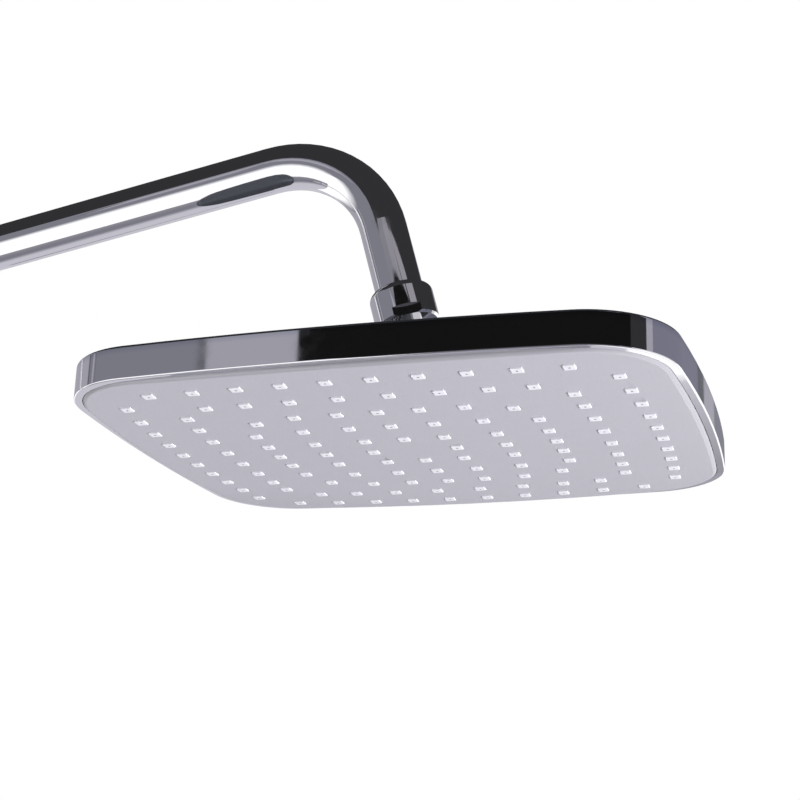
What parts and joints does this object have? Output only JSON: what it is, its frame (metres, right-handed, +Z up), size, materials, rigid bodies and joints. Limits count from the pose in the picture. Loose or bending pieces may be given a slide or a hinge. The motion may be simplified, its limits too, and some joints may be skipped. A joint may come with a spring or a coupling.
{
  "type": "overhead shower",
  "caption": "Rectangular rain shower head with white square nozzles on a ball joint, hung from a bent chrome arm that swivels on a wall-held riser stub.",
  "frame": {"origin": "centre of the bracket's wall face", "axes": "+X out of the wall into the room, +Z up along the riser"},
  "size_m": [0.584, 0.219, 0.3454],
  "materials": {
    "chromed_brass": "polished chrome on brass",
    "chromed_plastic": "bright chrome plating on moulded plastic",
    "satin_plastic": "satin silver",
    "white_silicone": "matt white silicone",
    "brass": "turned brass",
    "black_rubber": "matt black rubber",
    "seat_plastic": "natural acetal",
    "chamber_plastic": "moulded grey plastic",
    "screw_steel": "stainless steel"
  },
  "bodies": {
    "riser": {"riser_tube": "chromed_brass", "riser_nipple": "brass", "swivel_socket": "chromed_brass", "stop_screw": "screw_steel", "riser_bracket": "chromed_brass", "clamp_screw": "screw_steel", "lock_screw": "screw_steel", "bracket_base": "screw_steel", "wall_rosette": "chromed_brass"},
    "arm": {"arm_tube": "chromed_brass", "arm_spigot": "brass", "spigot_orings": "black_rubber", "arm_outlet": "brass", "ball_stem": "chromed_brass", "inlet_gasket": "black_rubber", "filter_mesh": "screw_steel", "flow_regulator": "seat_plastic", "regulator_oring": "black_rubber"},
    "upper_seat": {"upper_seat": "seat_plastic"},
    "lower_seat": {"lower_seat": "seat_plastic"},
    "head": {"retaining_collar": "chromed_brass", "socket_insert": "brass", "seat_oring": "black_rubber", "hub_oring": "black_rubber", "top_shell": "chromed_plastic", "chamber_plate": "chamber_plastic", "chamber_screws": "screw_steel", "nozzle_mat": "white_silicone", "face_plate": "satin_plastic"}
  },
  "joints": [
    {"name": "arm_swivel", "type": "hinge", "parent": "riser", "child": "arm", "pos_m": [0.055, 0, 0.08], "axis": [0, 0, 1], "range_deg": [-60, 60]},
    {"name": "head_tilt", "type": "hinge", "parent": "arm", "child": "upper_seat", "pos_m": [0.455, 0, 0.15123], "axis": [0, -1, 0], "range_deg": [-6.5, 37.5]},
    {"name": "head_side_tilt", "type": "hinge", "parent": "upper_seat", "child": "lower_seat", "pos_m": [0.455, 0, 0.15123], "axis": [1, 0, 0], "range_deg": [-15, 15]},
    {"name": "head_turn", "type": "hinge", "parent": "lower_seat", "child": "head", "pos_m": [0.455, 0, 0.15123], "axis": [0, 0, 1], "continuous": true}
  ]
}
